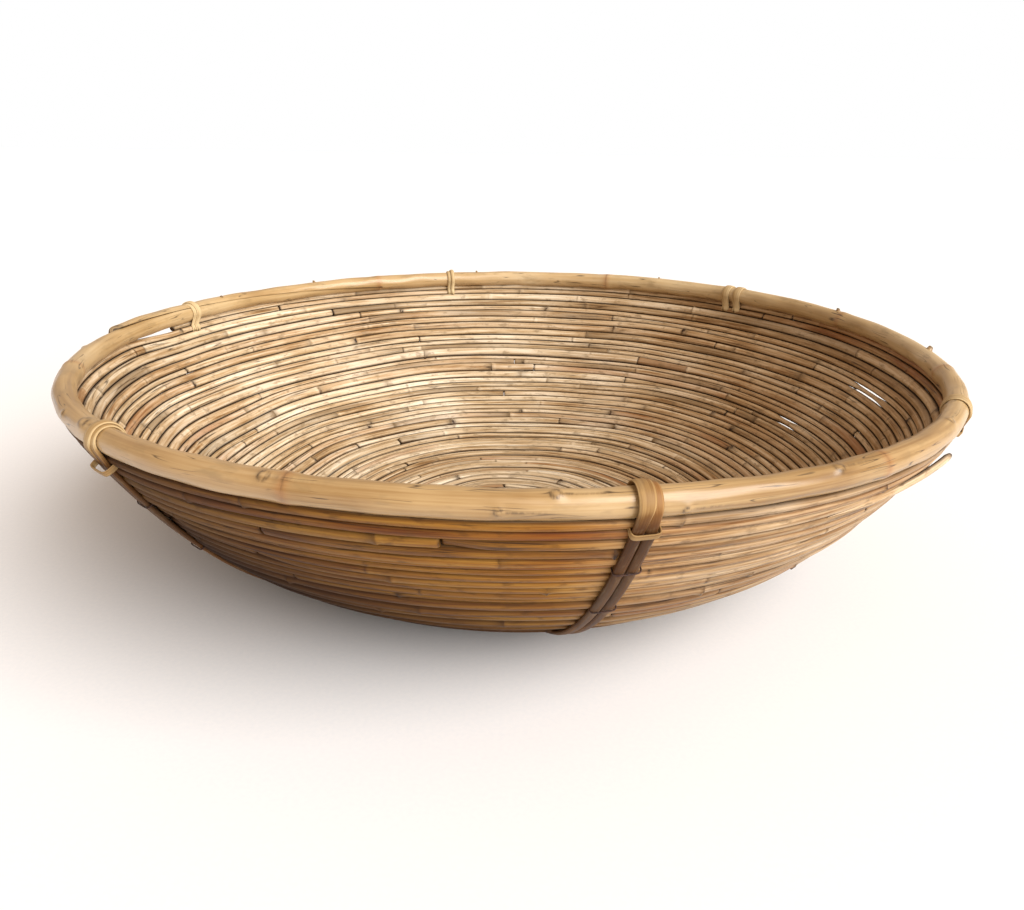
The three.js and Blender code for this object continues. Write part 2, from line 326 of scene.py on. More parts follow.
def rattanSkin(name, look):
    # Rattan: hard stem, straw to honey brown, with fine streaks along it, dark node scars, hairline cracks
    # and a low sheen. The tint holds dark to light, redness, greyness and scars.
    material, tree, shader = newMaterial(name)
    tint = addNode(tree, "Attribute", attribute_name="tint")
    parts = addNode(tree, "SeparateColor", {"Color": tint.outputs["Color"]})
    uv = addNode(tree, "UVMap", uv_map="UVMap")
    place = addNode(tree, "TexCoord").outputs["Object"]
    streaks = grain(tree, uv, look["streaks"], 5.0)
    clouds = addNode(tree, "TexNoise", {"Vector": place, "Scale": look["clouds"], "Detail": 4.0})
    tone = parts.outputs["Red"]
    uneven = ((streaks, 0.25, 0.75, look["streak"]), (clouds, 0.3, 0.7, look["cloud"]))
    for noise, low, high, amount in uneven:
        lift = addNode(tree, "MapRange", carried(noise, low, high, -amount, amount), clamp=False)
        tone = addNode(tree, "Math", {0: tone, 1: lift}, operation="ADD")
    ramp = addNode(tree, "ValToRGB", {"Fac": tone})
    setStops(ramp, look["stops"])
    spots = addNode(tree, "MapRange", carried(grain(tree, uv, look["blotches"]), 0.56, 0.72))
    blotches = addNode(tree, "Math", {0: spots, 1: look["blotch"]}, operation="MULTIPLY")
    layers = [(parts.outputs["Green"], "red", "MIX"), (parts.outputs["Blue"], "grey", "MIX"),
              (blotches, "grey", "MIX")]
    rough = addNode(tree, "MapRange", carried(streaks, 0.3, 0.7, *look["rough"]))
    # painted shade: dark seams between rods, a darker outside, and honey away from the window, rougher where
    # dark
    if look["seamShade"]:
        shadeLayers, dull = shadeAndHoneyLayers(tree, look, uv, place)
        layers += shadeLayers
        dull = addNode(tree, "Math", {0: dull, 1: dullness["rough"]}, operation="MULTIPLY")
        rough = addNode(tree, "Math", {0: rough, 1: dull}, operation="MAXIMUM")
    cracks = hairlineCracks(tree, look, uv)
    lines = addNode(tree, "Math", {0: cracks, 1: crack["dark"]}, operation="MULTIPLY")
    ragged = addNode(tree, "MapRange", carried(grain(tree, uv, (420, 7)), 0.35, 0.6, 0.25, 1.3))
    scars = addNode(tree, "Math", {0: tint.outputs["Alpha"], 1: ragged}, operation="MULTIPLY")
    layers += [(lines, "scar", "MIX"), (scars, "scar", "MIX")]
    colour = ramp
    for amount, over, way in layers:  # each colour is laid over those before it, or multiplied into them
        colour = addNode(tree, "Mix", dict(zip(colourMix, (amount, colour, hexColour(look[over])))),
                         data_type="RGBA", clamp_factor=True, blend_type=way)
    height = addNode(tree, "Math", {0: cracks, 1: -crack["deep"], 2: streaks}, operation="MULTIPLY_ADD")
    bump = addNode(tree, "Bump", {"Height": height, "Strength": look["bump"], "Distance": 0.3 * mm})
    tree.links.new(colour.outputs["Result"], shader.inputs["Base Color"])
    tree.links.new(rough.outputs[0], shader.inputs["Roughness"])
    tree.links.new(bump.outputs["Normal"], shader.inputs["Normal"])
    shader.inputs["Specular IOR Level"].default_value = look["shine"]
    shader.inputs["Coat Weight"].default_value = look["coat"]
    shader.inputs["Coat Roughness"].default_value = look["coatRough"]
    return material


def mottled(name, scale, detail, stops, rough, metallic=0.0):
    # fine noise through the colour stops, over one roughness
    material, tree, shader = newMaterial(name)
    place = addNode(tree, "TexCoord").outputs["Object"]
    noise = addNode(tree, "TexNoise", {"Vector": place, "Scale": scale, "Detail": detail})
    ramp = addNode(tree, "ValToRGB", {"Fac": noise})
    setStops(ramp, stops)
    tree.links.new(ramp.outputs["Color"], shader.inputs["Base Color"])
    shader.inputs["Roughness"].default_value = rough
    shader.inputs["Metallic"].default_value = metallic
    return material


def oxidisedWire():
    # Iron binding wire gone dark with rust: mostly rough, a dull metal sheen on the worn crests.
    rust = [(0.35, "#2B2020"), (0.65, "#4F3328")]
    return mottled("oxidised iron binding wire", 900.0, 3.0, rust, 0.5, 0.55)


def paperSweep():
    # Matt studio background paper: pale, with a barely visible tooth.
    return mottled("matt background paper", 400.0, 2.0, [(0.3, "#EEF2F9"), (0.7, "#F2F5FB")], 0.9)


# the reed's dark colour is laid on as painted shade in its seams and on its shaded outside, and its honey
# colour partly as painted shade away from the window
reedSkin = rattanSkin("unpeeled rattan reed", {
    "streaks": (20, 13), "streak": 0.36, "clouds": 14, "cloud": 0.16, "blotches": (90, 5), "blotch": 0.6,
    "stops": [(0, "#4E3218"), (0.25, "#87663F"), (0.5, "#B69C78"), (0.75, "#D0BDA0"), (1, "#E5D9C4")],
    "red": "#9A6238", "grey": "#7E6A50", "scar": "#2B190C", "dust": "#2E1B0D", "varnishAndShade": "#D1A24A",
    "seamShade": 0.95, "cracks": (7, 9), "crackSpots": (9, 3), "crackFrom": 0.52, "crackWide": 0.028,
    "rough": (0.34, 0.54), "shine": 0.2, "coat": 0.03, "coatRough": 0.3, "bump": 0.3})
poleSkin = rattanSkin("varnished rattan pole", {
    "streaks": (9, 18), "streak": 0.13, "clouds": 11, "cloud": 0.18, "blotches": (40, 5), "blotch": 0.35,
    "stops": [(0, "#573A1F"), (0.3, "#8F6F42"), (0.55, "#B4976A"), (0.8, "#C6AE86"), (1, "#D3C19E")],
    "red": "#9E6434", "grey": "#806A48", "scar": "#2B180B",
    "seamShade": 0, "cracks": (14, 11), "crackSpots": (32, 8), "crackFrom": 0.56, "crackWide": 0.022,
    "rough": (0.3, 0.44), "shine": 0.5, "coat": 0.35, "coatRough": 0.22, "bump": 0.2})
caneSkin = rattanSkin("split rattan cane", {
    "streaks": (14, 9), "streak": 0.18, "clouds": 25, "cloud": 0.12, "blotches": (80, 4), "blotch": 0.35,
    "stops": [(0, "#24140A"), (0.3, "#4C2F15"), (0.5, "#6F4E2A"), (0.75, "#A98A5C"), (1, "#D2BE96")],
    "red": "#8A5526", "grey": "#75624A", "scar": "#20120A",
    "seamShade": 0, "cracks": (9, 5), "crackSpots": (15, 3), "crackFrom": 0.52, "crackWide": 0.035,
    "rough": (0.42, 0.6), "shine": 0.15, "coat": 0.0, "coatRough": 0.3, "bump": 0.3})
wireMetal = oxidisedWire()


# Stage: camera, paper floor and lights

camera = {
    "distance": 2.2012 * rim["radius"],  # from the middle of the rim
    "elevation": 13.4485,  # degrees, as the next three are
    "dip": 7.1393,  # looks this much lower than the rim's middle
    "pan": 0.0206,
    "roll": 0.718,
    "lens": 30.87,  # mm
}


def placeCamera():
    elevation, pan, roll = (np.radians(camera[key]) for key in ("elevation", "pan", "roll"))
    slope = -elevation - np.radians(camera["dip"])
    forward = np.array([np.sin(pan) * np.cos(slope), np.cos(pan) * np.cos(slope), np.sin(slope)])
    side = np.cross(forward, [0, 0, 1])
    side /= np.linalg.norm(side)
    up = np.cross(side, forward)
    across = side * np.cos(roll) + up * np.sin(roll)
    upward = up * np.cos(roll) - side * np.sin(roll)
    place = np.array([0, -np.cos(elevation), np.sin(elevation)]) * camera["distance"] + [0, 0, rim["height"]]
    data = bpy.data.cameras.new("camera")
    data.sensor_fit = "HORIZONTAL"
    data.sensor_width = 36
    data.lens = camera["lens"]
    data.clip_start = 0.01
    holder = bpy.data.objects.new("camera", data)
    frameMatrix = np.eye(4)
    frameMatrix[:3] = np.stack([across, upward, -forward, place], 1)
    holder.matrix_world = Matrix(frameMatrix.tolist())
    bpy.context.scene.collection.objects.link(holder)
    bpy.context.scene.camera = holder


def makeFloor():
    half = 9.0  # metres, so that its edge lies far beyond the bowl
    corners = [(-half, -half, 0), (half, -half, 0), (half, half, 0), (-half, half, 0)]
    mesh = bpy.data.meshes.new("paperFloor")
    mesh.from_pydata(corners, [], [(0, 1, 2, 3)])
    mesh.materials.append(paperSweep())
    paper = bpy.data.objects.new("paperFloor", mesh)
    bpy.context.scene.collection.objects.link(paper)


light = {
    "azimuth": -41,  # a big window on the right, a little in front
    "elevation": 33,
    "spread": 52,  # its width as an angle
    "power": 4.7,
    "colour": "#FFFBF5",
    "room": "#FFE6CE",  # warm light from the rest of the room
    "roomPower": 0.57,
}


def placeLights():
    azimuth, elevation = np.radians(light["azimuth"]), np.radians(light["elevation"])
    level = np.cos(elevation)
    toward = -np.array([np.cos(azimuth) * level, np.sin(azimuth) * level, np.sin(elevation)])
    side = np.cross(toward, [0, 0, 1])
    side /= np.linalg.norm(side)
    matrix = np.eye(4)
    matrix[:3] = np.stack([side, np.cross(side, toward), -toward, -2 * toward], 1)
    data = bpy.data.lights.new("window", "SUN")
    data.angle = np.radians(light["spread"])
    data.energy = light["power"]
    data.color = hexColour(light["colour"])[:3]
    holder = bpy.data.objects.new("window", data)
    holder.matrix_world = Matrix(matrix.tolist())
    bpy.context.scene.collection.objects.link(holder)
    # the room's light is warm, but the backdrop is seen as plain white
    world = bpy.data.worlds.new("studio")
    world.use_nodes = True
    tree = world.node_tree
    room = tree.nodes["Background"]
    room.inputs["Color"].default_value = hexColour(light["room"])
    room.inputs["Strength"].default_value = light["roomPower"]
    seen = addNode(tree, "Background", {"Color": hexColour("#FFFFFF"), "Strength": 1.0})
    ray = addNode(tree, "LightPath")
    mix = addNode(tree, "MixShader", {0: ray.outputs["Is Camera Ray"], 1: room, 2: seen})
    tree.links.new(mix.outputs[0], tree.nodes["World Output"].inputs["Surface"])
    bpy.context.scene.world = world
    bpy.context.scene.view_settings.view_transform = "Standard"


placeCamera()
makeFloor()
placeLights()
print("bowl: camera, paper and lights placed")


# Coil

coil = {
    "seed": 11,
    "steps": 720,  # bearings at which the turns are stacked
    "lengths": 24,  # one for each CAD reed
    "rods": 3,  # real rods butted along each length
    "spread": 1.2 * mm,  # how far rods differ in thickness
    "limits": (3.4 * mm, 7.8 * mm),
    "taper": 0.14,
    "press": 0.12 * mm,  # neighbours are pressed together by this
    "tight": 0.7 * mm,  # the top turn is pushed up against the pole
    "blend": 59,  # bearings over which the stack takes up a change of thickness
    "past": 4.5,  # degrees by which the last end runs past the joining rib
    "climb": 14,  # degrees after that over which the top turn climbs on to the next
    "uneven": (0.05, 0.6),  # how much a rod's width varies along it, and over how many metres
    "levelled": 26 * mm,  # depth over which the turns go from level to evenly climbing
    "square": 0.74,  # power on the section's sine and cosine: below 1, pressed slightly square
    "sample": 3.6 * mm,
    "heartSample": 0.12,  # as a share of the radius, where that is less
    "sides": 10,
    "startGap": (0.1, 0.4),  # mm, least and most, between a rod and the one before it
    "endGap": (0.15, 0.3, 0.1),  # mm, mean, spread and least, at its other end
    "endRings": np.array([0.35, 1.2, 2.5]) * mm,  # extra rings, from each end
    "nodeRings": np.array([-4, -2.6, -1.6, -0.8, 0, 0.8, 1.6, 2.6, 4]) * mm,  # and on both sides of each node
    "leastStep": 0.15 * mm,  # between two rings
    "nodeSpacing": (0.09, 0.26),  # metres
    "nodeClear": 6 * mm,  # no node is nearer an end
    "nodeSize": (0.3, 1.4),
    "knotSizes": (0.8, 1.1),  # a node of this size has a knot, and of this one a big knot
    "nodeSwell": 0.1,
    "knotSwell": 0.22,
    "pinch": 0.16,  # how much slimmer its very ends are
    "stray": 0.3 * mm,  # how far a rod wanders off the wall
}
# where a reed has shrunk away from both its neighbours: bearing, depth, half length in degrees, by how much
slits = [
    (4.3, 34 * mm, 4.7, 2.3 * mm),
    (17, 86 * mm, 3.0, 2.0 * mm),
]
coilStart = ribs[joinRib] + np.radians(coil["past"])


def coilStack(rng):
    # Each rod of the coil gets a length and a thickness, and every turn its place at every bearing. The place
    # is a run along the wall line from the bowl's middle.
    steps = coil["steps"]
    pitch = wall["reed"] + wall["gap"]
    turns = int((wallLength - wall["heart"]) / pitch)
    station = np.arange(turns * steps + 1)
    evenRun = wall["heart"] + (wallLength - wall["heart"]) * station / station[-1]
    radius = np.interp(evenRun, lineRun, lineRadius)
    pace = turn / steps * radius
    reach = np.concatenate([[0], np.cumsum(pace[1:])])
    shares = np.cumsum(rng.uniform(0.5, 1.5, (coil["lengths"], coil["rods"])), 1)
    shares /= shares[:, -1:]
    cuts = (shares + np.arange(coil["lengths"])[:, None]) * reach[-1] / coil["lengths"]
    edges = np.concatenate([[0], cuts.ravel()])
    thickness = np.clip(rng.normal(wall["reed"], coil["spread"], len(edges) - 1), *coil["limits"])
    rodAt = np.clip(np.searchsorted(edges, reach, side="right") - 1, 0, len(thickness) - 1)
    share = (reach - edges[rodAt]) / (edges[rodAt + 1] - edges[rodAt])
    uneven, wavelength = coil["uneven"]
    width = thickness[rodAt] * (1 + coil["taper"] * (0.5 - share))
    width = width * (1 + uneven * wander(rng, reach, wavelength))
    kernel = np.hanning(coil["blend"] + 2)
    half = len(kernel) // 2
    width = np.convolve(np.pad(width, half, "edge"), kernel / kernel.sum(), "valid")
    # At each bearing the turns are stacked down from the pole: two neighbours lie half the sum of their
    # widths apart. A slight scaling of each stack ends it at the heart. The turns climb evenly, except that
    # near the top they lie level under the pole and climb just past the joining rib. The levelling fades with
    # depth.
    column = np.arange(steps)
    columns = width[:-1].reshape(turns, steps)
    pairs = (columns[1:] + columns[:-1]) / 2 - coil["press"]
    above = np.concatenate([np.cumsum(pairs[::-1], 0)[::-1], np.zeros((1, steps))])
    lap = column / steps
    ramp = softStep(column / (coil["climb"] / 360 * steps))
    edge = (wall["reed"] - columns[-1, -1] * (1 - ramp) - columns[-1] * ramp) / 2 + coil["tight"]
    drop = (1 - lap) * pairs[-1, -1]
    heart = wall["heart"] + pitch * lap
    scale = (wallLength + edge - heart) / (drop + above[0])
    scale += lap * (scale[0] - scale[-1])
    level = scale * (ramp - lap) * pairs[-1, -1]
    near = np.exp((np.arange(turns) + 1 - turns) * pitch / coil["levelled"])[:, None]
    run = (wallLength + edge - scale * (drop + above) + level * near).ravel()
    run = np.append(run, run[-1])
    extra = level * (near - np.exp(-pitch / coil["levelled"]) * near)
    need = np.cumsum(pace / np.minimum(coil["sample"], coil["heartSample"] * radius))
    wide = columns * scale + extra
    for bearing, depth, length, gape in slits:
        middle = (np.radians(bearing) - coilStart) % turn / turn * steps
        row = int(round(turns - 1 - depth / pitch))
        wide[row] -= gape * softBump(((column - middle) / (length / 360 * steps)) ** 2)
    wide = np.append(wide.ravel(), wide[-1, -1])
    return {"station": station, "reach": reach, "run": run, "edges": edges, "need": need, "width": wide}


# How a reed's tint varies: mean, spread from rod to rod and from internode to internode
reedTint = {
    "tone": (0.65, 0.075, 0.055),
    "drift": (0.05, 0.12),  # of the tone along the rod, and over how many metres
    "red": (0.02, 0.08, 0.03),
    "grey": (0, 0.1, 0.04),
    "redPatch": (0.09, 0.5),  # how many internodes have one, and how strong it is
    "greyPatch": (0.1, 0.55),
    "bloom": 0.6,  # grey round a big node
    "halo": 0.1,  # paler beside a node
}


def reedColour(rng, along, part, gap, knob):
    # tone, redness and greyness at each station: the rod's own value, its internode's and a drift along it
    internode = rng.normal(0, 1, (3, len(knob)))
    chance = rng.uniform(0, 1, (2, len(knob)))
    mean, between, within = reedTint["tone"]
    drift, wavelength = reedTint["drift"]
    tone = mean + between * rng.normal() + within * internode[0][part]
    tone = tone + drift * wander(rng, along, wavelength)
    patch = np.clip(0.6 + 0.8 * wander(rng, along, 0.1), 0, 1)
    layers = []
    for row, kind in enumerate(("red", "grey")):
        mean, between, within = reedTint[kind]
        often, strength = reedTint[kind + "Patch"]
        layer = np.clip(rng.normal(mean, between) + within * internode[row + 1][part], 0, 1)
        layers.append(layer + (chance[row] < often)[part] * strength * patch)
    red, grey = layers
    grey = grey + reedTint["bloom"] * (knob[part] > 0.95) * softBump(gap / (5 * mm))
    tone = tone + reedTint["halo"] * softBump((gap - 2.4 * mm) / (1.5 * mm))
    return np.stack([tone, red, grey, tone * 0], -1)


def coilRod(rng, stack, start, end):
    # The rod's middle follows the wall line, a little off it. Its section is radius * c along the wall and
    # radius * s away from it, where c and s are the cosine and sine of the angle round it, each raised to the
    # power "square" with its sign kept. The radius is half the stacked width, swollen at nodes and knots.
    start = start + rng.uniform(*coil["startGap"]) * mm
    mean, between, least = coil["endGap"]
    end = end - max(least, rng.normal(mean, between)) * mm
    need = np.interp([start, end], stack["reach"], stack["need"])
    base = np.interp(np.linspace(*need, int(need[1] - need[0]) + 3), stack["need"], stack["reach"])
    nodes = start + np.cumsum(rng.uniform(*coil["nodeSpacing"], 16)) - rng.uniform(0, 0.1)
    nodes = nodes[(nodes > start + coil["nodeClear"]) & (nodes < end - coil["nodeClear"])]
    near = (nodes[:, None] + coil["nodeRings"]).ravel()
    along = np.sort(np.concatenate([base, near, start + coil["endRings"], end - coil["endRings"]]))
    along = along[np.concatenate([[True], np.diff(along) > coil["leastStep"]])]
    station = np.interp(along, stack["reach"], stack["station"])
    bearing = coilStart + turn * station / coil["steps"]
    run = np.interp(station, stack["station"], stack["run"])
    radius = np.interp(station, stack["station"], stack["width"]) / 2
    fromEnd = np.minimum(along - start, end - along)
    gap = np.abs(along[:, None] - nodes[None]).min(1) if len(nodes) else along * 0 + 1
    part = np.searchsorted(nodes, along)
    knob = rng.uniform(*coil["nodeSize"], len(nodes) + 1)
    bud = rng.uniform(0, turn, len(nodes) + 1)[part]
    size = knob[part]
    angle = np.arange(coil["sides"]) / coil["sides"] * turn
    radius = radius * (1 + coil["nodeSwell"] * size * softBump(gap / (2 * mm)))
    radius = radius * (1 - coil["pinch"] * softBump(fromEnd / (0.5 * mm)))
    # on one side, at the bud, a node's scar is darkest, and a larger node has a knot there
    aside = (angle[None] - bud[:, None] + np.pi) % turn - np.pi
    knotty, big = (size[:, None] > least for least in coil["knotSizes"])
    knots = knotty * softBump(gap[:, None] / ((2.2 + 1.2 * big) * mm))
    knots = knots * softBump(aside / (0.7 + 0.3 * big))
    off = coil["stray"] * wander(rng, along, 0.16) + rng.normal(0, 0.2 * mm)
    for tip in (start, end):  # some ends spring a little off the wall
        off = off - max(0, rng.normal(0, 0.6)) * mm * softBump((along - tip) / (14 * mm))
    out, up, lineA, lineB = besideWall(run, off)
    cos, sin = np.cos(bearing), np.sin(bearing)
    centre = np.stack([out * cos, out * sin, up], -1)
    axisA = np.stack([lineA * cos, lineA * sin, lineB], -1)
    axisB = np.stack([lineB * cos, lineB * sin, -lineA], -1)
    tint = reedColour(rng, along, part, gap, knob)
    ring = 0.75 * softBump(gap / (0.8 * mm))[:, None] * (0.55 + 0.45 * np.cos(aside))
    tips = 0.6 * softBump(fromEnd / (0.8 * mm))[:, None]
    across = np.sign(np.cos(angle)) * np.abs(np.cos(angle)) ** coil["square"]
    through = np.sign(np.sin(angle)) * np.abs(np.sin(angle)) ** coil["square"]
    radius = radius[:, None] * (1 + coil["knotSwell"] * knots)
    rod = sweptRod(centre, axisA, axisB, radius * across, radius * through, along, tint)
    rod["scar"] = np.maximum(np.maximum(ring, (0.7 + 0.5 * big) * knots), tips)
    return rod


looseEnd = {"from": 302, "to": 325.5, "down": (15 * mm, 5 * mm), "off": (2.5 * mm, 7 * mm), "thick": 1.8 * mm}


def looseRod():
    # A broken reed end that has sprung out from under the pole: a round rod that climbs the wall line evenly
    # and leaves the wall by the square of its share along.
    share = np.linspace(0, 1, 60)
    bearing = np.radians(looseEnd["from"] + (looseEnd["to"] - looseEnd["from"]) * share)
    down = looseEnd["down"][0] + (looseEnd["down"][1] - looseEnd["down"][0]) * share
    off = looseEnd["off"][0] + (looseEnd["off"][1] - looseEnd["off"][0]) * share ** 2
    out, up, lineA, lineB = besideWall(wallLength - down, off)
    cos, sin = np.cos(bearing), np.sin(bearing)
    along = share * np.radians(looseEnd["to"] - looseEnd["from"]) * rim["radius"]
    radius = looseEnd["thick"] * softStep(share / 0.3) * (1 - 0.35 * softBump((share - 1) / 0.02)) + 0.2 * mm
    angle = np.arange(coil["sides"]) / coil["sides"] * turn
    tint = np.stack([share * 0 + 0.88, share * 0, 0.1 * share, 0.9 * softBump((share - 1) / 0.04)], -1)
    centre = np.stack([out * cos, out * sin, up], -1)
    axisA = np.stack([lineA * cos, lineA * sin, lineB], -1)
    axisB = np.stack([lineB * cos, lineB * sin, -lineA], -1)
    across = radius[:, None] * np.cos(angle - np.pi / 4)
    through = radius[:, None] * np.sin(angle - np.pi / 4)
    return sweptRod(centre, axisA, axisB, across, through, along, tint)


def makeCoil():
    rng = np.random.default_rng(coil["seed"])
    stack = coilStack(rng)
    for length in range(coil["lengths"]):
        cuts = stack["edges"][length * coil["rods"]:(length + 1) * coil["rods"] + 1]
        rods = [coilRod(rng, stack, start, end) for start, end in zip(cuts[:-1], cuts[1:])]
        if length == coil["lengths"] - 1:
            rods.append(looseRod())
        buildRods(f"coilReed{length + 1:02d}", rods, reedSkin, [f"coil_reed_{length + 1:02d}"])


makeCoil()
print("bowl: coil wound")


# Rim pole

pole = {
    "seed": 5,
    "sides": 40,
    "sample": 3.2 * mm,
    "scarf": (115, 183),  # bearings from one end of its sloping cut to the other
    "tips": (117.5, 177.5),  # where the two slim ends really stop
    "cutAngle": 60,  # the cut faces outwards and up at this angle
    "spring": 2.7 * mm,  # the outer tip stands off this much
    "nodes": (20, 71, 118, 196, 251, 307, 348),
    "tones": (0.7, 0.68, 0.72, 0.64, 0.54, 0.47, 0.54),  # between nodes, from the length before the first
    "swell": 0.4 * mm,
    "bend": 0.35 * mm,  # how far it wanders off its circle
    "lump": 0.16 * mm,
    # branch scars, and below them trimmed twigs: bearing, angle up from straight out, size in mm
    "eyes": [
        (273.6, 62, 1.7), (300.4, 60, 1.8), (249, 58, 1.9), (223, 60, 2.4), (217, 30, 1.6),
        (269, -7, 1.2), (284.4, -20, 1.2), (323, 70, 1.6), (331, 118, 2.0), (187, 40, 1.3)],
    "stubs": [
        (151, 100, 2.4), (130.5, 80, 2.2), (97, 80, 1.6), (60, 80, 1.6), (21, 85, 2.6),
        (-3.5, 60, 3.4)],
}


def poleRod():
    # The pole's middle is the rim's circle. Its section is a circle whose radius swells at the nodes and has
    # lumps, sums of sine waves along it and round it. The branch scars stand out of it, and both ends are cut
    # to a slant.
    rng = np.random.default_rng(pole["seed"])
    first, last = (np.radians(tip) for tip in (pole["tips"][0], pole["tips"][1] + 360))
    base = np.linspace(first, last, int((last - first) * rim["radius"] / pole["sample"]))
    nodes = np.radians(np.array(pole["nodes"]))
    nodes = np.concatenate([nodes, nodes + turn])
    eyes = np.radians(np.array([bearing for bearing, angle, size in pole["eyes"]]))
    fine = (nodes[:, None] + np.arange(-7, 7.1, 1.4)[None] * mm / rim["radius"]).ravel()
    dense = (eyes[:, None] + np.arange(-6, 9.1, 0.7)[None] * mm / rim["radius"]).ravel()
    fine = np.concatenate([fine, dense, fine + turn, dense + turn])
    bearing = np.sort(np.concatenate([base, fine[(fine > first) & (fine < last)]]))
    bearing = bearing[np.concatenate([[True], np.diff(bearing) > 0.3 * mm / rim["radius"]])]
    along = bearing * rim["radius"]
    angle = (np.arange(pole["sides"]) / pole["sides"]) * turn
    near = np.abs(along[:, None] - nodes[None] * rim["radius"]).min(1)
    tube = rim["tube"] * (1 + 0.03 * wander(rng, along, 0.35)) + pole["swell"] * softBump(near / (5 * mm))
    waves = zip(rng.uniform(0.5, 2, 6), rng.uniform(0, turn, 6), (1, 2, 3, 1, 2, 4))
    lumps = [pole["lump"] * np.sin(turn * along / (0.07 * size) + phase)[:, None]
             * np.cos(wave * angle + phase) for size, phase, wave in waves]
    tube = tube[:, None] + sum(lumps)
    ringX, ringZ = tube * np.cos(angle), tube * np.sin(angle)
    scar = np.repeat(0.3 * softBump(near / (0.8 * mm))[:, None], pole["sides"], 1)
    scar = scar * (0.6 + 0.6 * np.sin(angle + along[:, None] * 40))
    for place, tilt, size in pole["eyes"]:
        across = (angle - np.radians(tilt) + np.pi) % turn - np.pi
        away = along - np.radians(place) * rim["radius"]
        fromEye = np.hypot((away / (1.3 * size * mm))[:, None], (across / (0.17 * size))[None])
        bump = softBump(fromEye / 1.5)
        ringX = ringX + 0.9 * mm * bump * np.cos(angle)
        ringZ = ringZ + 0.9 * mm * bump * np.sin(angle)
        scar = np.maximum(scar, 0.65 * softBump((fromEye - 1) / 0.4))
        tail = softStep(away / (3 * mm)) * softBump((away - 8 * mm) / (9 * size * mm))
        scar = np.maximum(scar, 0.6 * tail[:, None] * softBump(across / 0.07)[None])
    # scarf: inside it, a ring is cut by a slanting plane, and the points beyond the plane are laid on it
    lean = np.radians(pole["cutAngle"])
    normal = np.array([np.cos(lean), np.sin(lean)])
    low, high = (np.radians(end) for end in pole["scarf"])
    spring = pole["spring"] * softStep((bearing - last) / np.radians(40) + 1)
    for strand, sign in ((0, 1), (turn, -1)):
        level = rim["tube"] * (2 * (bearing - strand - low) / (high - low) - 1)
        if strand:
            level = level - spring
        inside = (bearing - strand > low) & (bearing - strand < high)
        reachOut = ringX * normal[0] + ringZ * normal[1]
        over = np.where(inside[:, None], np.maximum(sign * (reachOut - level[:, None]) + 0.15 * mm, 0), 0)
        ringX, ringZ = ringX - sign * over * normal[0], ringZ - sign * over * normal[1]
    ringX, ringZ = ringX + spring[:, None] * normal[0], ringZ + spring[:, None] * normal[1]
    scar = np.maximum(scar, softBump((bearing - last) * rim["radius"] / (4 * mm))[:, None])
    radial = np.stack([np.cos(bearing), np.sin(bearing), bearing * 0], -1)
    lift = np.stack([bearing * 0, bearing * 0, bearing * 0 + 1], -1)
    ringX = ringX + pole["bend"] * wander(rng, along % (turn * rim["radius"]), 0.45)[:, None]
    part = np.searchsorted(nodes, bearing)
    internode = rng.normal(0, 1, (3, len(nodes) + 1))
    tone = np.array(pole["tones"])[part % 7] + 0.07 * wander(rng, along, 0.3)
    red = np.clip(0.06 + 0.06 * internode[1][part] + 0.1 * wander(rng, along, 0.6), 0, 0.6)
    red = red + 0.4 * softBump(near / (3 * mm))
    grey = np.clip(-0.02 + 0.15 * wander(rng, along, 0.4), 0, 0.4)
    rod = sweptRod(radial * rim["radius"] + lift * rim["height"], radial, lift, ringX, ringZ, along,
                   np.stack([tone, red, grey, tone * 0], -1))
    rod["scar"] = scar
    return rod


def stubRod(place, tilt, size):
    # a trimmed twig end: a short tapered stub standing off the pole
    bearing, tilt = np.radians(place), np.radians(tilt)
    radial = np.array([np.cos(bearing), np.sin(bearing), 0])
    along = np.array([-np.sin(bearing), np.cos(bearing), 0])
    outward = radial * np.cos(tilt) + np.array([0, 0, np.sin(tilt)])
    heights = np.array([-1.0, 0.5, 1.4, 1.8]) * size / 2.4 * mm + rim["tube"]
    centre = radial * rim["radius"] + [0, 0, rim["height"]] + heights[:, None] * (outward + 0.4 * along)
    angle = np.arange(8) / 8 * turn
    radius = np.array([0.9, 0.6, 0.5, 0.3])[:, None] * size * mm
    axisA = np.repeat(along[None], 4, 0)
    axisB = np.repeat(np.cross(outward, along)[None], 4, 0)
    tint = np.array([[0.32, 0.1, 0.2, 0.1]] * 2 + [[0.24, 0, 0.3, 0.5]] * 2)
    return sweptRod(centre, axisA, axisB, radius * np.cos(angle), radius * np.sin(angle), heights, tint)


def makePole():
    rods = [poleRod()] + [stubRod(*stub) for stub in pole["stubs"]]
    buildRods("rimPole", rods, poleSkin, ["rim_pole"])


makePole()
print("bowl: pole bent")


# Ribs

cane = {
    "width": 5.7 * mm,
    "thick": 2.8 * mm,
    "thin": 1.3 * mm,  # where it is pared to bend over the pole
    "off": 0.2 * mm,  # clear of the reeds and the pole
    "tuck": 7 * mm,  # reaches this far down the inside
    "foot": 34 * mm,  # stops this far from the middle, under the base
    "pared": (36 * mm, 16 * mm),  # thin this far along it, and full this much further on
    "pale": (40 * mm, 12 * mm),  # the same for the rim's tone
    "sample": 3 * mm,
    "sides": 14,
}
